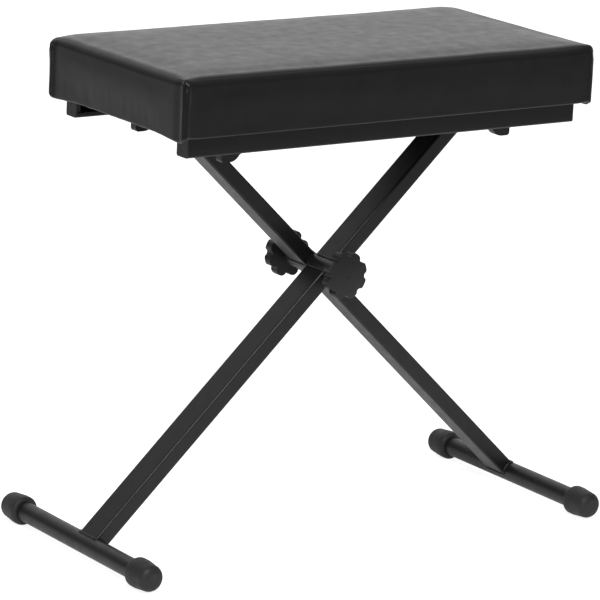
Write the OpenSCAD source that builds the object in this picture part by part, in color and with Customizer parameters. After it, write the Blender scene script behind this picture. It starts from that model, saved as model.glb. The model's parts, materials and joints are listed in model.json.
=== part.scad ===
// Folding X-frame bench: a padded seat on two slotted rails, carried by a pair of crossed
// tube legs. Nylon glides on the legs' cross tubes run in the rails, and two lobed knobs
// clamp the pivot. Millimetres, +Z up, origin on the floor under the middle of the seat.

/* [Seat] */
// Length of the padded seat
seat_l = 600; // [580:5:680]
// Depth of the padded seat, front to back
seat_w = 300; // [280:5:360]
// Height of the padded seat, from its underside to its top
seat_h = 72; // [50:1:90]
// Radius of the seat's top edges
seat_r = 9; // [5:0.5:14]
// Radius of the seat's upright corners
corner_r = 3; // [2.5:0.5:8]
// Thickness of the plywood seat board
board_t = 12; // [9:0.5:18]
// Thickness of the vinyl cover
vinyl_t = 1; // [0.6:0.1:1.6]
// Width of the cover's hem under the board
hem_w = 12; // [8:1:13]
// How much rounder the board's corners are than the cover inside them
board_ease = 1; // [0.5:0.25:3]
// Slack between the cover and the foam and board inside it
cover_slack = 0.1; // [0.05:0.05:0.3]

/* [Rails] */
// Distance from the seat's end to a rail's end
rail_end_inset = 15.5; // [12:0.5:24]
// Depth of a rail's section, front to back
rail_w = 23; // [20:0.5:28]
// Height of a rail's section
rail_h = 26; // [22:0.5:32]
// Wall of a rail
rail_t = 1.5; // [1:0.1:2]
// Outer corner radius of a rail
rail_r = 2.5; // [2.2:0.1:4]
// Height of the lip above and below a rail's slot
rail_lip = 6; // [5:0.5:7]
// Distance from the seat's edge to a rail's outer face
rail_inset = 13.5; // [13:0.5:24]
// Thickness of a plug's visible end plate
plug_plate = 2; // [1.5:0.5:3]
// Depth of a plug inside the rail
plug_depth = 5; // [3:0.5:6]
// Clearance of a plug inside the rail
plug_clear = 0.1; // [0.05:0.05:0.2]

/* [Rail screws] */
// Distance from a rail's middle to its outer screws
screw_pitch = 160; // [120:5:170]
// Shank diameter of a rail screw
screw_d = 4.5; // [3.5:0.5:5]
// Head diameter of a rail screw
screw_head_d = 9; // [8:0.5:9.5]
// Head height of a rail screw
screw_head_h = 3; // [2:0.5:3.5]
// Length of a rail screw above its head
screw_l = 11; // [9:0.5:12]
// Diameter of the screwdriver hole under a rail screw
access_d = 11; // [10.5:0.5:13]

/* [Legs] */
// Angle between a leg and the floor
leg_angle = 43.6; // [36:0.1:50]
// Distance along a leg from the pivot to the foot tube's axis
lower_leg = 455; // [400:1:500]
// Distance along a leg from the pivot to the cross tube's axis
upper_leg = 267; // [230:1:275]
// Depth of a leg tube, front to back
leg_w = 38; // [30:1:44]
// Thickness of a leg tube, seen from the front
leg_t = 20; // [16:0.5:21]
// Wall of a leg tube
leg_wall = 1.5; // [1:0.1:2.5]
// Outer corner radius of a leg tube
leg_r = 2.6; // [2.2:0.1:4]
// Gap between the two legs
leg_gap = 1; // [0.6:0.1:2]

/* [Feet] */
// Length of a foot over its two rubber caps
foot_l = 339; // [300:1:400]
// Diameter of a foot tube
foot_d = 25; // [21:0.5:27]
// Wall of a foot tube
foot_wall = 1.5; // [1:0.1:2.5]
// Diameter of a rubber cap, which the bench rests on
cap_d = 37; // [36:0.2:42]
// Length of the cap's straight part, from its open rim
cap_band = 12; // [8:0.5:18]
// Diameter of a cap where its closed end begins
cap_tip_d = 33.4; // [32:0.2:36]
// Length of a rubber cap
cap_l = 39.5; // [34:0.5:50]
// Rubber beyond the end of the foot tube
cap_end = 6; // [4:0.5:9]
// Radius of a cap's closed end
cap_end_r = 10; // [6:0.5:12]
// Radius of a cap's open rim
cap_rim_r = 5; // [1:0.5:5]
// Clearance of the foot tube in a cap
cap_clear = 0.05; // [0.02:0.01:0.1]

/* [Pivot] */
// Outer diameter of a pivot barrel
barrel_d = 26; // [24:0.5:30]
// How far a barrel stands out of its leg
barrel_proud = 4; // [3:0.5:10]
// Diameter of the pivot stud
stud_d = 10; // [8:0.5:12]
// Clearance all round the stud
stud_clear = 0.05; // [0.02:0.01:0.1]
// Clearance between faces that turn on each other
face_clear = 0.1; // [0.05:0.05:0.2]
// Diameter of a washer
washer_d = 24; // [21:0.5:24]
// Thickness of a washer
washer_t = 1.5; // [1:0.25:2.5]

/* [Knobs] */
// Number of lobes on a knob
knob_lobes = 8; // [7:1:10]
// Diameter over a knob's lobes
knob_d = 60; // [56:1:66]
// Radius of one lobe
lobe_r = 8; // [7:0.5:9]
// How far a knob's lobes are turned from level
lobe_turn = 19; // [0:1:45]
// Radius of the scallop between two lobes
scallop_r = 4; // [3.5:0.25:4.5]
// Thickness of a knob's head
head_t = 16; // [12:0.5:20]
// Crown of a knob's outer face
head_crown = 2.5; // [1:0.25:3.5]
// Edge radius of a knob's head
head_r = 3; // [1:0.25:3.5]
// Diameter of a knob's stem
stem_d = 20; // [18:0.5:24]
// Length of a knob's stem
stem_l = 13.4; // [10:0.2:20]
// Diameter of the threaded insert in a knob
insert_d = 14; // [13.5:0.1:16]
// Length of the threaded insert
insert_l = 18; // [14:0.5:22]
// Length of stud inside the knob, beyond the stem's face
stud_grip = 22; // [19:0.5:24]

/* [Cross tubes and glides] */
// Diameter of a cross tube
cross_d = 22; // [21:0.5:25]
// Wall of a cross tube
cross_wall = 1.5; // [1:0.1:2.5]
// Diameter of a glide's round hub
hub_d = 23; // [22:0.5:30]
// Radius of a glide's rounded toe, outwards of its hub
toe_r = 16; // [14:0.5:17]
// Radius of the corner between a toe's flat bottom and its flat end
toe_corner = 4; // [2:0.5:6]
// Distance from the cross tube's axis outwards to the middle of the toe's rounding
toe_out = 8.5; // [6:0.5:12]
// Distance from the cross tube's axis down to the middle of the toe's rounding
toe_drop = 2; // [0:0.5:3]
// Distance from the cross tube's axis to the toe's flat end
toe_reach = 20; // [18.5:0.5:24]
// Thickness of a glide's hub
hub_t = 12; // [8:0.5:16]
// Gap between a glide's hub and the rail
hub_gap = 12; // [6:0.5:16]
// Height of the rail's slot above the cross tube's axis
slot_rise = 13; // [13:0.5:18]
// Length of a glide's tongue along the rail
tongue_l = 18; // [14:1:18]
// Thickness of a tongue's head inside the rail
tongue_head = 8; // [5:0.5:10]
// Height that the tongue's head stands past the slot
tongue_grip = 3.8; // [3:0.2:3.8]
// Clearance of a tongue in the rail
slide_clear = 0.3; // [0.2:0.05:0.5]
// Length of a glide's spigot inside the cross tube
spigot_l = 24; // [16:1:30]
// Clearance all round a spigot
spigot_clear = 0.05; // [0.02:0.01:0.1]
// Gap between a glide's hub and the cross tube's end
end_gap = 0.3; // [0.2:0.1:0.5]

/* [Hidden] */

// Sides: left and front are -1, right and rear are +1
left = -1;
right = 1;
front = -1;
rear = 1;

// Heights and reaches of the crossed legs
foot_z = cap_d / 2;
foot_x = lower_leg * cos(leg_angle);
pivot_z = foot_z + lower_leg * sin(leg_angle);
top_x = upper_leg * cos(leg_angle);
top_z = pivot_z + upper_leg * sin(leg_angle);

// The rails sit over the cross tubes, and the seat sits on the rails
rail_z = top_z + slot_rise;
seat_z = rail_z + rail_h / 2;
rail_end = seat_l / 2 - rail_end_inset;
rail_outer = seat_w / 2 - rail_inset;
rail_inner = rail_outer - rail_w;
board_z = seat_z + vinyl_t;
board_top = board_z + board_t;
slot_h = rail_h - 2 * rail_lip;

// Along the cross tubes
hub_out = rail_inner - hub_gap;
hub_in = hub_out - hub_t;
cross_end = hub_in - end_gap;

// Along the pivot, from the middle outwards
leg_mid = (leg_gap + leg_w) / 2;
barrel_in = leg_gap / 2;
barrel_out = barrel_in + leg_w + barrel_proud;
washer_out = barrel_out + washer_t;
stem_in = washer_out + face_clear;
head_in = stem_in + stem_l;
stud_end = stem_in + stud_grip;
stud_tip = 1.2;
blind_gap = 2;

fine = 96;
soft = 28;
edge_steps = 7;
cut = 1;

steel = "#26272a";
rubber = "#2b2b2d";
nylon = "#1e1f21";

// Flat shapes ------------------------------------------------------------------------

// A rectangle with round corners, centred
module round_rect(w, h, r, sides = fine) {
    square([w - 2 * r, h], center = true);
    square([w, h - 2 * r], center = true);
    for (x = [-1, 1], y = [-1, 1]) {
        translate([x * (w / 2 - r), y * (h / 2 - r)]) circle(r, $fn = sides);
    }
}

// The hollow section of a rectangular tube
module tube_section(w, h, r, wall) {
    difference() {
        round_rect(w, h, r);
        round_rect(w - 2 * wall, h - 2 * wall, max(r - wall, 0.5));
    }
}

// Placing ----------------------------------------------------------------------------

// Turn a shape made along +Z so that it runs along +Y
module along_y() {
    rotate([-90, 0, 0]) children();
}

// A round bar along Y between two places
module bar_y(r, y0, y1) {
    translate([0, min(y0, y1), 0]) along_y() cylinder(r = r, h = abs(y1 - y0), $fn = fine);
}

// A leg's own frame: +X up the leg from the pivot, Y through the pivot.
// The front leg rises to the right, the rear leg rises to the left.
module in_leg(row) {
    turn = row == front ? leg_angle : 180 - leg_angle;
    translate([0, 0, pivot_z]) rotate([0, -turn, 0]) children();
}

module at_top(side) {
    translate([side * top_x, 0, top_z]) children();
}

module at_foot(side) {
    translate([side * foot_x, 0, foot_z]) children();
}

// The pivot seen from outside: +Y runs outwards from the middle, on either side
module at_pivot(row) {
    translate([0, 0, pivot_z]) mirror([0, row == front ? 1 : 0, 0]) children();
}

// Seat ---------------------------------------------------------------------------------

// The outer form of the padding, taken in by a wall, from one height to its top.
// Layers of one outline draw in towards the top, so that the edges and corners round off.
module pad_form(z0, wall) {
    r = seat_r - wall;
    top = seat_z + seat_h - wall;
    hull() {
        for (i = [0:edge_steps]) {
            turn = 90 * i / edge_steps;
            draw = r * (1 - cos(turn));
            translate([0, 0, z0]) linear_extrude(top - r + r * sin(turn) - z0)
                round_rect(seat_l - 2 * (wall + draw), seat_w - 2 * (wall + draw),
                    corner_r - wall + draw, soft);
        }
    }
}

// The opening inside the cover's hem
module hem_opening(clear) {
    round_rect(seat_l - 2 * (hem_w + clear), seat_w - 2 * (hem_w + clear), seat_r);
}

module seat_cover() {
    color("#1d1d1f") difference() {
        pad_form(seat_z, 0);
        pad_form(board_z, vinyl_t);
        translate([0, 0, seat_z - cut]) linear_extrude(vinyl_t + 2 * cut) hem_opening(0);
    }
}

module seat_foam() {
    color("#d8cfae") pad_form(board_top, vinyl_t + cover_slack);
}

module seat_board() {
    inset = vinyl_t + cover_slack;
    color("#b58a5a") difference() {
        translate([0, 0, board_z]) linear_extrude(board_t)
            round_rect(seat_l - 2 * inset, seat_w - 2 * inset, corner_r - inset + board_ease);
        screw_holes(screw_d + 0.1);
    }
}

module dust_cover() {
    color("#161616") difference() {
        translate([0, 0, seat_z]) linear_extrude(vinyl_t) hem_opening(slide_clear);
        screw_holes(screw_d + 0.1);
    }
}

// Rails --------------------------------------------------------------------------------

// The rail's C section, slot towards the middle of the bench at -X
module rail_section() {
    difference() {
        tube_section(rail_w, rail_h, rail_r, rail_t);
        translate([-rail_w / 2, 0]) square([4 * rail_t, slot_h], center = true);
    }
}

// A section drawn in the rail's own plane, run along X and put in a rail's place
module along_rail(row, x0, x1) {
    translate([x0, row * (rail_outer - rail_w / 2), rail_z])
        mirror([0, row == front ? 1 : 0, 0])
        rotate([90, 0, 90]) linear_extrude(x1 - x0) children();
}

// Every place of a rail screw, on its axis
module screw_places(row) {
    for (i = [-1:1]) {
        translate([i * screw_pitch, row * (rail_outer - rail_w / 2), 0]) children();
    }
}

module screw_holes(d) {
    for (row = [front, rear]) {
        screw_places(row) translate([0, 0, seat_z - rail_t - cut])
            cylinder(d = d, h = screw_l + rail_t + cut, $fn = fine);
    }
}

module rail(row) {
    half = rail_end - plug_plate;
    color(steel) difference() {
        along_rail(row, -half, half) rail_section();
        screw_holes(screw_d + 0.1);
        screw_places(row) translate([0, 0, rail_z - rail_h / 2 - cut])
            cylinder(d = access_d, h = rail_t + 2 * cut, $fn = fine);
    }
}

module rail_plug(row, side) {
    seat = rail_end - plug_plate;
    deep = seat - plug_depth;
    fit = rail_t + plug_clear;
    color("#3a3b3d") {
        along_rail(row, min(side * rail_end, side * seat), max(side * rail_end, side * seat))
            round_rect(rail_w, rail_h, rail_r);
        along_rail(row, min(side * deep, side * seat), max(side * deep, side * seat))
            round_rect(rail_w - 2 * fit, rail_h - 2 * fit, max(rail_r - fit, 0.5));
    }
}

module rail_screws() {
    under = seat_z - rail_t;
    color("#8d8f92") for (row = [front, rear]) {
        screw_places(row) translate([0, 0, under]) {
            translate([0, 0, -screw_head_h]) cylinder(d1 = screw_head_d * 0.7, d2 = screw_head_d,
                h = screw_head_h / 2, $fn = fine);
            translate([0, 0, -screw_head_h / 2]) cylinder(d = screw_head_d, h = screw_head_h / 2,
                $fn = fine);
            cylinder(d = screw_d, h = screw_l, $fn = fine);
        }
    }
}

// Glides -------------------------------------------------------------------------------

// A glide's body seen from the front: round hub, toe towards the bench's end, square top
module glide_outline(top) {
    bottom = -toe_drop - toe_r;
    circle(hub_d / 2, $fn = fine);
    intersection() {
        translate([toe_out, -toe_drop]) circle(toe_r, $fn = fine);
        translate([-hub_d, bottom]) square([hub_d + toe_out, -bottom]);
    }
    translate([toe_out, bottom]) square([toe_reach - toe_corner - toe_out, toe_r]);
    translate([toe_out, bottom + toe_corner]) square([toe_reach - toe_out, -bottom - toe_corner]);
    translate([toe_reach - toe_corner, bottom + toe_corner]) circle(toe_corner, $fn = fine);
    translate([-hub_d / 2, 0]) square([hub_d / 2 + toe_reach, top]);
}

// A nylon glide: spigot in the cross tube, toed body, and a T-shaped tongue in the rail
module glide(side, row) {
    neck_h = slot_h - 2 * slide_clear;
    head_h = slot_h + 2 * tongue_grip;
    head_at = rail_inner + rail_t + slide_clear;
    color(nylon) at_top(side) mirror([side == left ? 1 : 0, 0, 0])
        mirror([0, row == front ? 1 : 0, 0]) {
        bar_y(cross_d / 2 - cross_wall - spigot_clear, hub_in - spigot_l, hub_in);
        translate([0, hub_out, 0]) rotate([90, 0, 0]) linear_extrude(hub_t)
            glide_outline(slot_rise + neck_h / 2);
        translate([-tongue_l / 2, hub_out, slot_rise - neck_h / 2])
            cube([tongue_l, head_at - hub_out, neck_h]);
        translate([-tongue_l / 2, head_at, slot_rise - head_h / 2])
            cube([tongue_l, tongue_head, head_h]);
    }
}

// Legs ---------------------------------------------------------------------------------

// A length of leg tube with both ends coped round the bars that it is welded to
module leg_tube(row, x0, x1, r0, r1) {
    color(steel) in_leg(row) difference() {
        translate([x0, row * leg_mid, 0]) rotate([90, 0, 90]) linear_extrude(x1 - x0)
            tube_section(leg_w, leg_t, leg_r, leg_wall);
        translate([x0, 0, 0]) bar_y(r0, -2 * leg_w, 2 * leg_w);
        translate([x1, 0, 0]) bar_y(r1, -2 * leg_w, 2 * leg_w);
    }
}

module leg_lower_tube(row) {
    leg_tube(row, -lower_leg, 0, foot_d / 2, barrel_d / 2);
}

module leg_upper_tube(row) {
    leg_tube(row, 0, upper_leg, barrel_d / 2, cross_d / 2);
}

module leg_barrel(row) {
    color(steel) at_pivot(row) difference() {
        bar_y(barrel_d / 2, barrel_in, barrel_out);
        bar_y(stud_d / 2 + stud_clear, barrel_in - cut, barrel_out + cut);
    }
}

module round_tube(d, wall, half) {
    difference() {
        bar_y(d / 2, -half, half);
        bar_y(d / 2 - wall, -half - cut, half + cut);
    }
}

module cross_tube(side) {
    color(steel) at_top(side) round_tube(cross_d, cross_wall, cross_end);
}

module foot_tube(side) {
    color(steel) at_foot(side) round_tube(foot_d, foot_wall, foot_l / 2 - cap_end);
}

// Half of a cap's section: the axis is Y, with the closed end at the top
module cap_section() {
    tip_y = cap_l - cap_end_r;
    difference() {
        union() {
            square([cap_d / 2 - cap_rim_r, tip_y]);
            translate([cap_d / 2 - cap_rim_r, cap_rim_r]) circle(cap_rim_r, $fn = fine);
            polygon([[0, cap_rim_r], [cap_d / 2, cap_rim_r], [cap_d / 2, cap_band],
                [cap_tip_d / 2, tip_y], [0, tip_y]]);
            square([cap_tip_d / 2 - cap_end_r, cap_l]);
            intersection() {
                square([cap_d, cap_l]);
                translate([cap_tip_d / 2 - cap_end_r, tip_y]) circle(cap_end_r, $fn = fine);
            }
        }
        translate([0, -cut]) square([foot_d / 2 + cap_clear, cap_l - cap_end + cut]);
    }
}

module foot_cap(side, row) {
    color(rubber) at_foot(side) mirror([0, row == front ? 1 : 0, 0])
        translate([0, foot_l / 2 - cap_l, 0]) along_y() rotate_extrude($fn = fine) cap_section();
}

// Pivot --------------------------------------------------------------------------------

module pivot_stud() {
    color("#9a9ca0") translate([0, 0, pivot_z]) for (row = [front, rear]) {
        bar_y(stud_d / 2, 0, row * (stud_end - stud_tip));
        translate([0, row * (stud_end - stud_tip), 0]) rotate([-90 * row, 0, 0])
            cylinder(d1 = stud_d, d2 = stud_d - 2 * stud_tip, h = stud_tip, $fn = fine);
    }
}

module washer(row) {
    color("#9a9ca0") at_pivot(row) difference() {
        bar_y(washer_d / 2, barrel_out, washer_out);
        bar_y(stud_d / 2 + stud_clear, barrel_out - cut, washer_out + cut);
    }
}

// The fibre disc between the barrels is bonded to the rear one
module friction_disc() {
    color("#5c5148") translate([0, 0, pivot_z]) difference() {
        bar_y(barrel_d / 2, face_clear - barrel_in, barrel_in);
        bar_y(stud_d / 2 + stud_clear, -barrel_in - cut, barrel_in + cut);
    }
}

// Knobs --------------------------------------------------------------------------------

// The lobed outline: round fingers, with a scallop cut a little way into each pair
module knob_outline() {
    step = 360 / knob_lobes;
    finger = knob_d / 2 - lobe_r;
    scallop_at = finger * cos(step / 2) + lobe_r;
    rotate(-lobe_turn) difference() {
        union() {
            circle(finger + lobe_r / 2, $fn = fine);
            for (i = [0:knob_lobes - 1]) {
                rotate(i * step) translate([finger, 0]) circle(lobe_r, $fn = fine);
            }
        }
        for (i = [0:knob_lobes - 1]) {
            rotate((i + 0.5) * step) translate([scallop_at, 0]) circle(scallop_r, $fn = fine);
        }
    }
}

// Half of the head's section: flat back at the bottom, crowned face at the top
module head_section() {
    flank = head_t - head_crown - head_r;
    edge = knob_d / 2 - head_r;
    crown_r = (edge * edge + head_crown * head_crown) / (2 * head_crown);
    union() {
        square([knob_d / 2, flank]);
        square([edge, flank + head_r]);
        translate([edge, flank]) circle(head_r, $fn = fine);
        intersection() {
            translate([0, flank + head_r]) square([edge, head_crown]);
            translate([0, head_t - crown_r]) circle(crown_r, $fn = 4 * fine);
        }
    }
}

module knob(row) {
    color("#2e2f31") at_pivot(row) difference() {
        union() {
            bar_y(stem_d / 2, stem_in, head_in + cut);
            translate([0, head_in, 0]) intersection() {
                along_y() linear_extrude(head_t) knob_outline();
                along_y() rotate_extrude($fn = fine) head_section();
            }
        }
        bar_y(insert_d / 2 + stud_clear, stem_in - cut, stem_in + insert_l);
        bar_y(stud_d / 2 + 2 * stud_clear, stem_in, stud_end + blind_gap);
    }
}

module knob_insert(row) {
    color("#b08d4a") at_pivot(row) difference() {
        bar_y(insert_d / 2, stem_in, stem_in + insert_l);
        bar_y(stud_d / 2 + stud_clear, stem_in - cut, stem_in + insert_l + cut);
    }
}

// Parts ----------------------------------------------------------------------------------

seat_board();
seat_foam();
seat_cover();
dust_cover();
rail(front);  // front_rail
rail(rear);  // rear_rail
rail_screws();
rail_plug(front, left);  // front_rail_left_plug
rail_plug(front, right);  // front_rail_right_plug
rail_plug(rear, left);  // rear_rail_left_plug
rail_plug(rear, right);  // rear_rail_right_plug
glide(left, front);  // left_front_glide
glide(left, rear);  // left_rear_glide
glide(right, front);  // right_front_glide
glide(right, rear);  // right_rear_glide
leg_lower_tube(front);  // front_leg_lower_tube
leg_upper_tube(front);  // front_leg_upper_tube
leg_barrel(front);  // front_leg_barrel
cross_tube(right);  // right_cross_tube
foot_tube(left);  // left_foot_tube
foot_cap(left, front);  // left_foot_front_cap
foot_cap(left, rear);  // left_foot_rear_cap
leg_lower_tube(rear);  // rear_leg_lower_tube
leg_upper_tube(rear);  // rear_leg_upper_tube
leg_barrel(rear);  // rear_leg_barrel
cross_tube(left);  // left_cross_tube
foot_tube(right);  // right_foot_tube
foot_cap(right, front);  // right_foot_front_cap
foot_cap(right, rear);  // right_foot_rear_cap
pivot_stud();
friction_disc();
washer(front);  // front_washer
washer(rear);  // rear_washer
knob(front);  // front_knob
knob_insert(front);  // front_knob_insert
knob(rear);  // rear_knob
knob_insert(rear);  // rear_knob_insert
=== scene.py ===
import json
import math

import bmesh
import bpy
from mathutils import Matrix, Vector, kdtree, noise


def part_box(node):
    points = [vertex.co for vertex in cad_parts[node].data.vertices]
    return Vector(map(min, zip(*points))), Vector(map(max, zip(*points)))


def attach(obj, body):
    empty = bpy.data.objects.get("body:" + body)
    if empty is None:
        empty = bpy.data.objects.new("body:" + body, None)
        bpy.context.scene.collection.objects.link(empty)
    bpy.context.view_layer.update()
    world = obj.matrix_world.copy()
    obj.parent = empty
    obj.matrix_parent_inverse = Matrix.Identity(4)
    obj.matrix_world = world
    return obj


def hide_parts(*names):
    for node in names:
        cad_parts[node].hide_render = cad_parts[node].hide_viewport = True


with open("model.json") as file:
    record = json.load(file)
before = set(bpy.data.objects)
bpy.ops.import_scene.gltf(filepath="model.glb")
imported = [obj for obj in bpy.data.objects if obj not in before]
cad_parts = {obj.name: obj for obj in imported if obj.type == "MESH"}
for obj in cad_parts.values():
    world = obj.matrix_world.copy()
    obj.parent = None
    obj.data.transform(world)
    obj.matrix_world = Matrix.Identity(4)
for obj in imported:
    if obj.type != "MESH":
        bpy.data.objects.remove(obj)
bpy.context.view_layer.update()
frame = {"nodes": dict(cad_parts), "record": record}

# Places worked out from the frame -----------------------------------------------------

MM = 0.001

nodes = frame["nodes"]


def centre(node):
    """The middle of a CAD node's box."""
    low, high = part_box(node)
    return (low + high) / 2


SEAT_LOW, SEAT_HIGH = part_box("seat_cover")
SEAT_HALF = (SEAT_HIGH - SEAT_LOW) / 2
SEAT_MIDDLE_Z = (SEAT_LOW.z + SEAT_HIGH.z) / 2
DUST_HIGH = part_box("dust_cover")[1]
PIVOT = centre("pivot_stud")
LEFT_FOOT = centre("left_foot_tube")
RIGHT_CROSS = centre("right_cross_tube")


def linked(name, data):
    """A new object with this data, in the scene."""
    thing = bpy.data.objects.new(name, data)
    bpy.context.scene.collection.objects.link(thing)
    return thing


# Camera -------------------------------------------------------------------------------

VIEW_AZIMUTH, VIEW_ELEVATION, VIEW_ROLL = (math.radians(a) for a in (-34.88, 14.20, 2.67))
VIEW_TARGET = Vector((-0.0138, 0.0094, 0.2848))
VIEW_DISTANCE = 4.792
FOCAL_LENGTH, SENSOR_WIDTH = 230.97, 36

# The level direction from the bench to the camera.
CAMERA_SIDE = Vector((math.sin(VIEW_AZIMUTH), -math.cos(VIEW_AZIMUTH), 0))


def make_camera():
    """The camera stands front left, a little above the seat, with a slight roll."""
    back = CAMERA_SIDE * math.cos(VIEW_ELEVATION)
    back.z = math.sin(VIEW_ELEVATION)
    side = (-back).cross(Vector((0, 0, 1))).normalized()
    up = side.cross(-back)
    image_x = side * math.cos(VIEW_ROLL) + up * math.sin(VIEW_ROLL)
    image_y = up * math.cos(VIEW_ROLL) - side * math.sin(VIEW_ROLL)
    data = bpy.data.cameras.new("camera")
    data.sensor_width = SENSOR_WIDTH
    data.lens = FOCAL_LENGTH
    camera = linked("camera", data)
    turn = Matrix((image_x, image_y, back)).transposed().to_4x4()
    camera.matrix_world = Matrix.Translation(VIEW_TARGET + back * VIEW_DISTANCE) @ turn
    bpy.context.scene.camera = camera


make_camera()


# Materials ----------------------------------------------------------------------------

def set_range(node, *limits):
    """Sets what a Map Range node takes (from low to high) and what it gives (low to high)."""
    for name, limit in zip(("From Min", "From Max", "To Min", "To Max"), limits):
        node.inputs[name].default_value = limit


class Shader:
    """A new node material with short helpers for the procedural patterns used here."""

    def __init__(self, name):
        self.material = bpy.data.materials.new(name)
        self.material.use_nodes = True
        self.tree = self.material.node_tree
        self.bsdf = self.tree.nodes["Principled BSDF"]
        self.place = self.add("ShaderNodeTexCoord").outputs["Object"]

    def add(self, kind, **values):
        """A new node. Each value goes to the input of that name, or else to the setting."""
        node = self.tree.nodes.new(kind)
        for name, value in values.items():
            if name in node.inputs:
                node.inputs[name].default_value = value
            else:
                setattr(node, name, value)
        return node

    def link(self, start, end):
        self.tree.links.new(start, end)

    def scaled(self, scale):
        mapping = self.add("ShaderNodeMapping")
        mapping.inputs["Scale"].default_value = scale
        self.link(self.place, mapping.inputs["Vector"])
        return mapping.outputs["Vector"]

    def noise(self, scale, detail=4.0, rough=0.55, stretch=None):
        node = self.add("ShaderNodeTexNoise", Scale=scale, Detail=detail, Roughness=rough)
        self.link(self.scaled(stretch) if stretch else self.place, node.inputs["Vector"])
        return node.outputs["Fac"]

    def cells(self, scale):
        """The distance to the edge of the nearest cell."""
        node = self.add("ShaderNodeTexVoronoi", Scale=scale, feature="DISTANCE_TO_EDGE")
        self.link(self.place, node.inputs["Vector"])
        return node.outputs["Distance"]

    def colour(self, value, dark, pale):
        node = self.add("ShaderNodeMix", data_type="RGBA")
        node.inputs["A"].default_value = (*dark, 1)
        node.inputs["B"].default_value = (*pale, 1)
        self.link(value, node.inputs["Factor"])
        self.link(node.outputs["Result"], self.bsdf.inputs["Base Color"])

    def roughness(self, value, low, high):
        """Spreads the middle of a noise, where most of its values lie, from low to high."""
        node = self.add("ShaderNodeMapRange")
        set_range(node, 0.3, 0.7, low, high)
        self.link(value, node.inputs["Value"])
        self.link(node.outputs["Result"], self.bsdf.inputs["Roughness"])

    def bump(self, *layers):
        """Stacks bumps: each layer is (height output, depth)."""
        normal = None
        for height, depth in layers:
            node = self.add("ShaderNodeBump", Strength=1.0, Distance=depth)
            self.link(height, node.inputs["Height"])
            if normal:
                self.link(normal, node.inputs["Normal"])
            normal = node.outputs["Normal"]
        self.link(normal, self.bsdf.inputs["Normal"])


def vinyl():
    """Black upholstery vinyl: fine pebbled grain, faint creases, satin shine."""
    s = Shader("black_vinyl")
    s.colour(s.noise(9, 3), (0.008, 0.008, 0.009), (0.012, 0.012, 0.013))
    s.roughness(s.noise(55, 5), 0.31, 0.41)
    s.bump((s.cells(900), 0.06 * MM), (s.noise(420, 3), 0.05 * MM), (s.noise(26, 2), 0.04 * MM))
    return s.material


def powder_coat():
    """Satin black powder coat with a faint orange peel."""
    s = Shader("black_steel")
    s.colour(s.noise(14, 3), (0.006, 0.006, 0.007), (0.010, 0.010, 0.011))
    s.roughness(s.noise(60, 4), 0.36, 0.48)
    s.bump((s.noise(700, 2), 0.05 * MM), (s.noise(2600, 2), 0.02 * MM))
    return s.material


def moulded(name, dark, pale, rough, grain):
    """Moulded plastic with a fine spark-eroded grain."""
    s = Shader(name)
    s.colour(s.noise(35, 3), dark, pale)
    s.roughness(s.noise(120, 4), *rough)
    s.bump((s.noise(grain, 3), 0.06 * MM), (s.cells(grain * 1.3), 0.03 * MM))
    return s.material


def rubber():
    """Matte rubber with a dusty bloom."""
    s = Shader("black_rubber")
    s.colour(s.noise(40, 6, 0.7), (0.020, 0.020, 0.021), (0.034, 0.034, 0.035))
    s.roughness(s.noise(90, 4), 0.5, 0.68)
    s.bump((s.noise(900, 4), 0.08 * MM))
    return s.material


def metal(name, dark, pale, rough):
    """Turned or plated metal with fine marks along one way."""
    s = Shader(name)
    s.bsdf.inputs["Metallic"].default_value = 1.0
    s.colour(s.noise(60, 4), dark, pale)
    s.roughness(s.noise(160, 4), *rough)
    s.bump((s.noise(1500, 3, stretch=(1, 0.08, 1)), 0.03 * MM))
    return s.material


def woven(name, dark, pale):
    """Pressed non-woven cloth: short crossing fibres."""
    s = Shader(name)
    fibres = s.noise(700, 5, 0.7, stretch=(1, 0.25, 1))
    crossing = s.noise(700, 5, 0.7, stretch=(0.25, 1, 1))
    s.colour(fibres, dark, pale)
    s.roughness(s.noise(200, 3), 0.85, 0.95)
    s.bump((fibres, 0.15 * MM), (crossing, 0.15 * MM))
    return s.material


def wood():
    """Birch plywood face with long grain."""
    s = Shader("plywood")
    grain = s.noise(40, 6, 0.6, stretch=(0.08, 1, 1))
    s.colour(grain, (0.42, 0.27, 0.15), (0.62, 0.45, 0.28))
    s.roughness(grain, 0.6, 0.75)
    s.bump((grain, 0.2 * MM))
    return s.material


def foam():
    """Open-cell foam."""
    s = Shader("foam")
    pores = s.cells(500)
    s.colour(pores, (0.55, 0.49, 0.30), (0.80, 0.74, 0.52))
    s.roughness(pores, 0.9, 0.98)
    s.bump((pores, 0.5 * MM))
    return s.material


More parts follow.
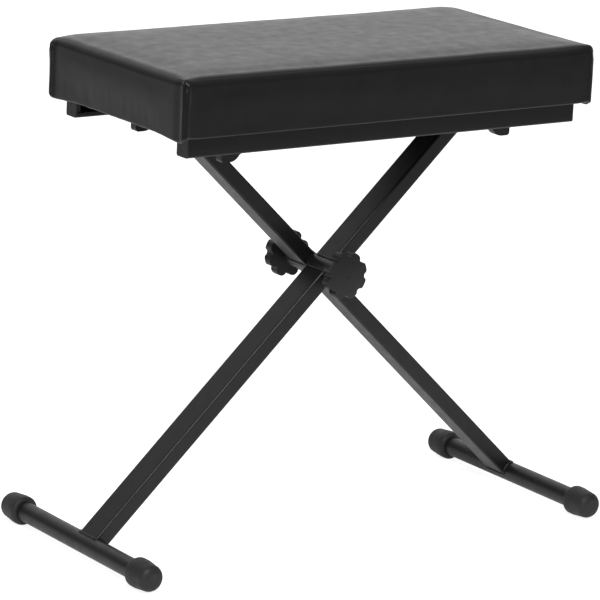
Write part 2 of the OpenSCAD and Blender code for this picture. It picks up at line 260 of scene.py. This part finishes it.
MATERIALS = {
    "black_vinyl": vinyl(),
    "black_steel": powder_coat(),
    "knob_plastic": moulded("knob_plastic", dark=(0.011, 0.011, 0.012), pale=(0.017, 0.017, 0.018),
                            rough=(0.45, 0.58), grain=900),
    "plug_plastic": moulded("plug_plastic", dark=(0.022, 0.022, 0.023), pale=(0.034, 0.034, 0.035),
                            rough=(0.42, 0.55), grain=700),
    "nylon": moulded("nylon", dark=(0.014, 0.014, 0.015), pale=(0.022, 0.022, 0.023),
                     rough=(0.34, 0.44), grain=500),
    "fibre": moulded("fibre", dark=(0.020, 0.017, 0.015), pale=(0.034, 0.029, 0.026),
                     rough=(0.75, 0.9), grain=400),
    "black_rubber": rubber(),
    "zinc_steel": metal("zinc_steel", dark=(0.42, 0.43, 0.45), pale=(0.60, 0.61, 0.62),
                        rough=(0.28, 0.42)),
    "brass": metal("brass", dark=(0.62, 0.43, 0.17), pale=(0.76, 0.57, 0.28), rough=(0.25, 0.4)),
    "dust_cloth": woven("dust_cloth", dark=(0.010, 0.010, 0.010), pale=(0.030, 0.030, 0.030)),
    "plywood": wood(),
    "foam": foam(),
}


def dress_cad_nodes():
    """Every CAD node takes the material of its record slot."""
    for part in frame["record"]["subparts"]:
        data = nodes[part["node"]].data
        data.materials.clear()
        data.materials.append(MATERIALS[part["material_slot"]])


dress_cad_nodes()


# Pieces -------------------------------------------------------------------------------

def finished(name, shell):
    """The mesh that a bmesh holds. The bmesh is freed."""
    mesh = bpy.data.meshes.new(name)
    shell.to_mesh(mesh)
    shell.free()
    return mesh


def new_piece(name, shell, slot, body):
    """A smooth-shaded piece that rides on a body and takes a slot's material."""
    mesh = finished(name, shell)
    piece = linked(name, mesh)
    mesh.materials.append(MATERIALS[slot])
    for face in mesh.polygons:
        face.use_smooth = True
    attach(piece, body)
    return piece


# Cushion: its rounded form ------------------------------------------------------------

# Radius of the long and short edges on top, of the hem, and of the upright corners.
EDGE, HEM_EDGE, CORNER = 11 * MM, 2 * MM, 4.5 * MM
# Within about this distance of an upright corner, the edges tighten to its radius.
TIGHTENING = 14 * MM


def bell(value, width):
    return math.exp(-(value / width) ** 2)


def fade(value, low, high):
    """Rises smoothly from 0 at low to 1 at high."""
    share = max(0.0, min(1.0, (value - low) / (high - low)))
    return share * share * (3 - 2 * share)


def gaps(place):
    """How far a point lies inside the ends and inside the long sides."""
    return SEAT_HALF.x - abs(place.x), SEAT_HALF.y - abs(place.y)


def steps(half, middle, bend):
    """Grid places from -half to half: even in the middle, close together at the bends."""
    flat = half - EDGE
    inner = [-flat + 2 * flat * i / middle for i in range(middle + 1)]
    outer = [flat + EDGE * (i + 1) / bend for i in range(bend)]
    return [-x for x in reversed(outer)] + inner + outer


def box_shell(xs, ys, zs):
    """The outside of a box as one closed grid of quads."""
    mesh = bmesh.new()
    made = {}
    sizes = (len(xs) - 1, len(ys) - 1, len(zs) - 1)

    def corner(i, j, k):
        if (i, j, k) not in made:
            made[i, j, k] = mesh.verts.new((xs[i], ys[j], zs[k]))
        return made[i, j, k]

    for axis in range(3):
        a, b = (axis + 1) % 3, (axis + 2) % 3
        for end in (0, sizes[axis]):
            for i in range(sizes[a]):
                for j in range(sizes[b]):
                    ring = []
                    for di, dj in ((0, 0), (1, 0), (1, 1), (0, 1)):
                        index = [0, 0, 0]
                        index[axis], index[a], index[b] = end, i + di, j + dj
                        ring.append(corner(*index))
                    mesh.faces.new(ring if end else ring[::-1])
    return mesh


def round_off(place):
    """A point of the box moved on to the cushion's form.

    The top edges are soft and the hem is crisp. Both tighten to the same radius at the corners.
    """
    near = bell(max(gaps(place)), TIGHTENING)
    far = EDGE if place.z > 0 else HEM_EDGE
    radius = far + (CORNER - far) * near
    inner = Vector([max(-half + radius, min(half - radius, value))
                    for half, value in zip(SEAT_HALF, place)])
    out = place - inner
    if out.length > 1e-9:
        inner += out.normalized() * radius
    return inner + Vector((0, 0, SEAT_MIDDLE_Z))


def rounded_shell(middle, bend):
    """The cushion's form, with each point's place on the box that it came from.

    middle is the number of steps along the seat, and bend the number over each edge.
    """
    across = max(8, round(middle * SEAT_HALF.y / SEAT_HALF.x))
    high = max(4, round(middle * SEAT_HALF.z / SEAT_HALF.x))
    shell = box_shell(steps(SEAT_HALF.x, middle, bend), steps(SEAT_HALF.y, across, bend),
                      steps(SEAT_HALF.z, high, bend))
    places = [vertex.co.copy() for vertex in shell.verts]
    for vertex in shell.verts:
        vertex.co = round_off(vertex.co)
    return shell, places


# Cushion: its swelling ----------------------------------------------------------------

# Height above the hem up to which the board holds the skin.
BOARD = 13 * MM
# No point swells further than this.
CROWN = 4.5 * MM
# The share of each move that is kept: half of it sideways, and all of it up and down.
KEPT = Vector((0.5, 0.5, 1))
# Over this distance the coarse shell's moves are smoothed.
REACH = 26 * MM
CLOTH_STEPS = 20


def add_cloth(piece, held):
    """Cloth with a light pressure inside and no gravity, pinned at the held points."""
    pinned = piece.vertex_groups.new(name="held")
    pinned.add(held, 1.0, "REPLACE")
    settings = piece.modifiers.new("cloth", "CLOTH").settings
    settings.quality = 6
    settings.mass = 0.4
    settings.tension_stiffness = 200
    settings.compression_stiffness = 200
    settings.shear_stiffness = 100
    settings.bending_stiffness = 10
    settings.use_pressure = True
    settings.uniform_pressure_force = 1
    settings.vertex_group_mass = pinned.name
    settings.effector_weights.gravity = 0


def simulate_swelling():
    """Blows the skin out over the foam with Cloth, held along the board.

    Returns the places of a coarse shell's points and how far each of them moved.
    """
    mesh = finished("swelling", rounded_shell(40, 2)[0])
    rest = [vertex.co.copy() for vertex in mesh.vertices]
    piece = linked("swelling", mesh)
    add_cloth(piece, [i for i, place in enumerate(rest) if place.z < SEAT_LOW.z + BOARD])
    scene = bpy.context.scene
    for step in range(1, CLOTH_STEPS + 1):
        scene.frame_set(step)
    seen = piece.evaluated_get(bpy.context.evaluated_depsgraph_get()).to_mesh()
    moves = [vertex.co - place for vertex, place in zip(seen.vertices, rest)]
    scene.frame_set(1)
    bpy.data.objects.remove(piece)
    bpy.data.meshes.remove(mesh)
    return rest, [limited(move) for move in moves]


def limited(move):
    """A move with its length eased towards CROWN, so that no point goes further."""
    length = move.length
    return move * (CROWN * (1 - math.exp(-length / CROWN)) / length) if length > 1e-9 else move


def spread(rest, moves):
    """A function that gives the move at any place, smoothed over the points within REACH."""
    tree = kdtree.KDTree(len(rest))
    for index, place in enumerate(rest):
        tree.insert(place, index)
    tree.balance()

    def at(place):
        total, weights = Vector(), 0.0
        near = tree.find_range(place, REACH) or [tree.find(place)]
        for _, index, distance in near:
            weight = bell(distance, REACH / 2)
            total += moves[index] * weight
            weights += weight
        return total / weights
    return at


# Cushion: its folds and slack ---------------------------------------------------------

# These numbers are in millimetres. A ridge is its height, its middle and its width. Round a
# corner, places below 0 lie on the end and places above 0 on the long side.
END_FOLD = (0.9, -3.0, 1.3)
SIDE_FOLD = (1.17, 5.2, 1.3)
LAYERS = (1.0, 0.0, 5.0)
FRONT_DIP = (-1.3, -8.0, 8.0)
BACK_SWELL = (0.8, 0.0, 40.0)
# The dent under a corner's top: the second ridge is measured down from the top.
DENT, DENT_DOWN = (-1.7, 1.5, 3.5), (1.0, 10.0, 3.6)
SEAM_WIDTH = 0.9
# How far round on the ends the seams of the back corners lie.
BACK_SEAM = 7.0
# How far the skin stands out from the solid at a corner, on the end and on the long side.
END_PROUD, SIDE_PROUD = 0.9, 2.3
# How far the top is pulled down at the corners, and how much fuller it is at the right end.
FRONT_PULL, BACK_PULL, RIGHT_FULL = 1.2, 3.8, 1.3
# How far the hem's rim hangs along the rails and along the ends, and what its corners add.
RAIL_HANG, END_HANG, LEFT_HANG, RIGHT_HANG = 0.5, 1.9, 4.4, 3.2
# How far the dust cover lies inside the hem, and how deep the hem's puckers are.
RECESS, PUCKER = 1.4, 0.35
# The slack in the skin: long waves, fine waves, and short pulls above the hem at the ends.
WAVE, FINE_WAVE, PULL = 0.35, 0.05, 0.45


def ridge(at, height, middle, width):
    return height * bell(at - middle, width)


def from_corner(box_place):
    """How far a point lies from the nearest upright corner: below 0 on the ends, else above."""
    gap_x, gap_y = gaps(box_place)
    return -gap_y if gap_x < gap_y else gap_x


def corner_fold(box_place, place):
    """How far the skin stands out sideways where it is tucked at a corner.

    The layers of the tuck make the corner thick. A sunk seam runs down it, between two
    pinched folds that fade below the top. At the front corners the end's skin dips before
    the seam. At the back ones the seam lies round on the end, which swells towards it.
    """
    if min(gaps(box_place)) > 0.1 * MM:
        return 0.0
    at_back = box_place.y > 0
    gap = from_corner(box_place) / MM + (BACK_SEAM if at_back else 0)
    down = (SEAT_HIGH.z - place.z) / MM
    proud = (END_PROUD + (SIDE_PROUD - END_PROUD) * fade(gap, -6, 2)) * fade(down, 0, 10)
    layers = ridge(gap, *LAYERS) * fade(down, 0, 8)
    dip = ridge(gap, *BACK_SWELL) if at_back else ridge(gap, *FRONT_DIP)
    dent = ridge(gap, *DENT) * ridge(down, *DENT_DOWN)
    pinch = 1 - 0.8 * fade(down, 14, 40)
    seam = -(1 + 0.6 * pinch) * bell(gap, SEAM_WIDTH)
    folds = (ridge(gap, *END_FOLD) + ridge(gap, *SIDE_FOLD)) * pinch
    return (proud + layers + dip + dent + (seam + folds) * fade(down, 3, 7)) * MM


def uneven_top(box_place):
    """The top is pulled down at the corners, most at the back, and is fuller at the right end."""
    gap_x, gap_y = gaps(box_place)
    pulled = BACK_PULL if box_place.y > 0 else FRONT_PULL
    full = RIGHT_FULL if box_place.x > 0 else 0
    lift = full * bell(gap_x, 35 * MM) - pulled * bell(math.hypot(gap_x, gap_y), 17 * MM)
    return lift * MM * fade(box_place.z, 0, SEAT_HALF.z)


def droop(box_place, place):
    """The hem's rim hangs below the board: least along the rails, most at the left corners."""
    gap_x, gap_y = gaps(box_place)
    low = 1 - fade(place.z, SEAT_LOW.z + 3 * MM, SEAT_LOW.z + 16 * MM)
    at_rail = 1 - fade(gap_y, 0.3 * MM, 1.5 * MM)
    at_end = 1 - fade(gap_x, 0.5 * MM, 6 * MM)
    wave = 0.5 * noise.noise(Vector((place.x * 60, place.y * 60, 5)))
    corner = (LEFT_HANG if place.x < 0 else RIGHT_HANG) * bell(gap_y, 40 * MM)
    rounded = 1 - 0.6 * bell(math.hypot(gap_x, gap_y), 4 * MM)
    hang = max(RAIL_HANG * at_rail, (END_HANG + corner) * at_end) * rounded
    return -(hang + wave * at_end) * MM * low


def underside(place):
    """Sinks what lies inside the hem, where the dust cover closes the cushion."""
    if place.z > SEAT_LOW.z + MM:
        return 0.0
    inside = min(DUST_HIGH.x - abs(place.x), DUST_HIGH.y - abs(place.y))
    hem = 1 - fade(inside, -0.5 * MM, 0)
    puckers = noise.noise(place * 140) * hem * fade(inside, -11 * MM, -6 * MM)
    return (RECESS * (1 - hem) - PUCKER * abs(puckers)) * MM


def skin_waves(place):
    """Slack in the skin: long soft waves, and short pulls above the hem at the ends."""
    low = fade(place.z, SEAT_LOW.z + 2 * MM, SEAT_LOW.z + 12 * MM)
    near_hem = 1 - fade(place.z, SEAT_LOW.z + 12 * MM, SEAT_LOW.z + 36 * MM)
    at_end = 1 - fade(SEAT_HALF.x - abs(place.x), 0, 10 * MM)
    wave = noise.noise(Vector((place.x * 14, place.y * 14, place.z * 22)))
    fine = noise.noise(place * 45 + Vector((3, 7, 1)))
    pull = noise.noise(Vector((7, place.y * 75, place.z * 18))) * near_hem * at_end
    return (WAVE * wave + FINE_WAVE * fine + PULL * pull) * MM * low


def cushion():
    """The padded seat: foam and vinyl over the board, tucked corners, hem underneath."""
    swelling = spread(*simulate_swelling())
    shell, box_places = rounded_shell(150, 16)
    shell.normal_update()
    for vertex, box_place in zip(shell.verts, box_places):
        place = vertex.co.copy()
        sideways = Vector((vertex.normal.x, vertex.normal.y, 0))
        fall = droop(box_place, place) + underside(place) + uneven_top(box_place)
        vertex.co = (place + swelling(place) * KEPT
                     + sideways * corner_fold(box_place, place)
                     + vertex.normal * skin_waves(place)
                     + Vector((0, 0, fall)))
    piece = new_piece("cushion", shell, "black_vinyl", "seat")
    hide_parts("seat_cover", "seat_foam")


cushion()


# Staples under the hem ----------------------------------------------------------------

# The wire's radius, half the staple's width, and how far its legs go up into the board.
WIRE, STAPLE_HALF, STAPLE_LEG = 0.55 * MM, 4.6 * MM, 3 * MM
# How far in and how far up the wire's bends begin and end, and how far it lies below the hem.
BEND_IN, BEND_UP, STAPLE_DROP = 0.5 * MM, 0.4 * MM, 0.3 * MM
# How far the first staple of a row stands from the seat's corner, and how many make a row.
STAPLE_MARGIN, RAIL_STAPLES, END_STAPLES = 26 * MM, 20, 9


def tube_along(mesh, path, radius, sides, closed):
    """Adds a round tube that follows a path. radius is a function of the share of the path."""
    count = len(path)
    rings = []
    side = None
    for i, place in enumerate(path):
        before = path[(i - 1) % count] if closed or i else place
        after = path[(i + 1) % count] if closed or i < count - 1 else place
        along = (after - before).normalized()
        if side is None:
            side = along.orthogonal().normalized()
        side = (side - along * side.dot(along)).normalized()
        up = along.cross(side)
        ring = []
        for j in range(sides):
            turn = 2 * math.pi * j / sides
            out = side * math.cos(turn) + up * math.sin(turn)
            ring.append(mesh.verts.new(place + out * radius(i / count)))
        rings.append(ring)
    pairs = list(zip(rings, rings[1:]))
    if closed:
        first = rings[0]
        shift = min(range(sides), key=lambda s: (first[s].co - rings[-1][0].co).length)
        pairs.append((rings[-1], first[shift:] + first[:shift]))
    else:
        mesh.faces.new(rings[0][::-1])
        mesh.faces.new(rings[-1])
    for low, high in pairs:
        for j in range(sides):
            k = (j + 1) % sides
            mesh.faces.new((low[j], low[k], high[k], high[j]))


def add_staple(mesh, middle, way):
    """Adds one staple: a wire along the hem, bent up into the board at both ends."""
    up = Vector((0, 0, 1))
    half = [way * STAPLE_HALF + up * STAPLE_LEG,
            way * STAPLE_HALF + up * BEND_UP,
            way * (STAPLE_HALF - BEND_IN)]
    other = [Vector((-place.x, -place.y, place.z)) for place in half]
    path = [middle + place for place in other + half[::-1]]
    tube_along(mesh, path, lambda share: WIRE, 8, False)


def staples():
    """Upholstery staples that hold the vinyl's hem to the board, a little out of line."""
    mesh = bmesh.new()
    hem = Vector((DUST_HIGH.x + SEAT_HALF.x, DUST_HIGH.y + SEAT_HALF.y)) / 2
    z = SEAT_LOW.z - STAPLE_DROP
    rows = ((RAIL_STAPLES, SEAT_HALF.x, True), (END_STAPLES, SEAT_HALF.y, False))
    for count, half, along_x in rows:
        for i in range(count):
            place = (half - STAPLE_MARGIN) * (2 * i / (count - 1) - 1)
            for side in (-1, 1):
                slip = noise.noise(Vector((place * 90, side * 3.3, count)))
                x, y = (place, side * hem.y) if along_x else (side * hem.x, place)
                tilt = 0.25 * slip + (0 if along_x else math.pi / 2)
                way = Vector((math.cos(tilt), math.sin(tilt), 0))
                add_staple(mesh, Vector((x + slip * 2 * MM, y + slip * MM, z)), way)
    new_piece("hem_staples", mesh, "zinc_steel", "seat")


staples()


# Welds --------------------------------------------------------------------------------

# The leg tube's thickness and corner radius.
LEG_THICK, LEG_CORNER = 20 * MM, 2.6 * MM
# The bead's radius, and the length of one ripple.
BEAD, RIPPLE = 1.75 * MM, 2.1 * MM
CORNER_POINTS = 7


def leg_outline(width, all_round):
    """Places round a leg's section, from its inner face over the outer one and back.

    Where all_round is false, the inner face, which lies against the other leg, is left out.
    """
    near, far, side = LEG_CORNER, width - LEG_CORNER, LEG_THICK / 2 - LEG_CORNER
    corners = ((near, side, 180), (far, side, 90), (far, -side, 0), (near, -side, -90))
    points = []
    for y, z, start in corners:
        for i in range(CORNER_POINTS):
            turn = math.radians(start - 90 * i / (CORNER_POINTS - 1))
            points.append((y + LEG_CORNER * math.cos(turn), z + LEG_CORNER * math.sin(turn)))
    outline = []
    for (y0, z0), (y1, z1) in zip(points, points[1:] + points[:1]):
        count = max(1, round(math.hypot(y1 - y0, z1 - z0) / (0.3 * RIPPLE)))
        outline += [(y0 + (y1 - y0) * i / count, z0 + (z1 - z0) * i / count) for i in range(count)]
    return outline if all_round else [point for point in outline if point[0] >= near]


def weld(name, body, end, bar, facing, all_round):
    """A rippled bead where a leg's coped end meets a round bar.

    end is the bar's place along the leg, and facing is +1 where the leg lies beyond the bar.
    """
    row = -1 if body == "front_leg" else 1
    low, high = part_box(body + "_lower_tube")
    inner = min(low.y, high.y, key=abs)
    rise = math.atan2(PIVOT.z - LEFT_FOOT.z, PIVOT.x - LEFT_FOOT.x)
    turn = rise if row < 0 else math.pi - rise
    in_leg = Matrix.Translation(PIVOT) @ Matrix.Rotation(-turn, 4, "Y")
    bar_low, bar_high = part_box(bar)
    radius = (bar_high.z - bar_low.z) / 2
    path = []
    for y, z in leg_outline(high.y - low.y, all_round):
        x = end + facing * math.sqrt(radius ** 2 - z ** 2)
        path.append(in_leg @ Vector((x, inner + row * y, z)))
    length = sum((b - a).length for a, b in zip(path, path[1:]))
    ripples = round(length / RIPPLE)

    def thick(share):
        ripple = abs(math.sin(math.pi * ripples * share))
        wander = noise.noise(Vector((share * 40, end * 10, row)))
        ends = 1.0 if all_round else min(1.0, 0.35 + 12 * min(share, 1 - share))
        return BEAD * (1 + 0.2 * ripple + 0.15 * wander) * ends

    mesh = bmesh.new()
    tube_along(mesh, path, thick, 10, all_round)
    new_piece(name, mesh, "black_steel", body)


def welds():
    """Beads at both ends of each leg and on both sides of its pivot barrel."""
    foot = (PIVOT - LEFT_FOOT).length
    top = (RIGHT_CROSS - PIVOT).length
    for leg in ("front_leg", "rear_leg"):
        barrel = leg + "_barrel"
        weld(leg + "_foot_weld", leg, -foot, "left_foot_tube", 1, True)
        weld(leg + "_top_weld", leg, top, "left_cross_tube", -1, True)
        weld(leg + "_barrel_lower_weld", leg, 0, barrel, -1, False)
        weld(leg + "_barrel_upper_weld", leg, 0, barrel, 1, False)


welds()


# Studio -------------------------------------------------------------------------------

# The middle of the bright wall, and how dim the rest of the studio is.
WALL = (Vector((0, 0, 0.32)) - CAMERA_SIDE).normalized()
DIM = 0.17
# The wall fades out between these two cosines of the angle from its middle.
WALL_EDGE, WALL_FULL = 0.53, 0.88
# The floor's colour, its radius, how far it reaches in front of the bench, and how bright
# a reflection shows it.
FLOOR_GREY, FLOOR_RADIUS, FLOOR_FRONT, FLOOR_GLOW = 0.86, 3.2, 1.0, 0.45


def floor_material():
    """Matte pale grey that the camera sees as white. It keeps the shadow."""
    s = Shader("studio_floor")
    s.bsdf.inputs["Base Color"].default_value = (FLOOR_GREY, FLOOR_GREY, FLOOR_GREY, 1)
    s.bsdf.inputs["Roughness"].default_value = 0.9
    s.bsdf.inputs["Specular IOR Level"].default_value = 0.1
    path = s.add("ShaderNodeLightPath")
    seen = s.add("ShaderNodeMath", operation="MULTIPLY_ADD")
    s.link(path.outputs["Is Glossy Ray"], seen.inputs[0])
    seen.inputs[1].default_value = FLOOR_GLOW
    s.link(path.outputs["Is Camera Ray"], seen.inputs[2])
    lift = s.add("ShaderNodeEmission")
    lift.inputs["Color"].default_value = (FLOOR_GREY, FLOOR_GREY, FLOOR_GREY, 1)
    s.link(seen.outputs["Value"], lift.inputs["Strength"])
    both = s.add("ShaderNodeAddShader")
    s.link(s.bsdf.outputs["BSDF"], both.inputs[0])
    s.link(lift.outputs["Emission"], both.inputs[1])
    s.link(both.outputs["Shader"], s.tree.nodes["Material Output"].inputs["Surface"])
    return s.material


def floor():
    """A pale disc that runs back from just in front of the bench."""
    mesh = bmesh.new()
    bmesh.ops.create_circle(mesh, cap_ends=True, segments=128, radius=FLOOR_RADIUS)
    bmesh.ops.translate(mesh, verts=mesh.verts, vec=CAMERA_SIDE * (FLOOR_FRONT - FLOOR_RADIUS))
    data = finished("studio_floor", mesh)
    data.materials.append(floor_material())
    linked("studio_floor", data)


def studio():
    """A dim studio with one broad bright wall, low down behind the bench."""
    world = bpy.data.worlds.new("studio")
    bpy.context.scene.world = world
    world.use_nodes = True
    tree = world.node_tree
    background = tree.nodes["Background"]
    background.inputs["Color"].default_value = (1, 1, 1, 1)
    toward = tree.nodes.new("ShaderNodeVectorMath")
    toward.operation = "DOT_PRODUCT"
    toward.inputs[1].default_value = WALL
    tree.links.new(tree.nodes.new("ShaderNodeTexCoord").outputs["Generated"], toward.inputs[0])
    ramp = tree.nodes.new("ShaderNodeMapRange")
    ramp.interpolation_type = "SMOOTHSTEP"
    set_range(ramp, WALL_EDGE, WALL_FULL, DIM, 1.0)
    tree.links.new(toward.outputs["Value"], ramp.inputs["Value"])
    seen = tree.nodes.new("ShaderNodeMath")
    seen.operation = "MAXIMUM"
    tree.links.new(ramp.outputs["Result"], seen.inputs[0])
    tree.links.new(tree.nodes.new("ShaderNodeLightPath").outputs["Is Camera Ray"], seen.inputs[1])
    tree.links.new(seen.outputs["Value"], background.inputs["Strength"])


def lamp(name, place, aim, size, power):
    """A square softbox that faces a point."""
    data = bpy.data.lights.new(name, "AREA")
    data.size = size
    data.energy = power
    light = linked(name, data)
    light.location = place
    light.rotation_euler = (aim - place).to_track_quat("-Z", "Y").to_euler()


floor()
studio()
lamp("key", place=Vector((-1.75, -2.3, 3.1)), aim=Vector((0, 0, 0.3)), size=1.2, power=82)

bpy.context.scene.view_settings.view_transform = "Standard"
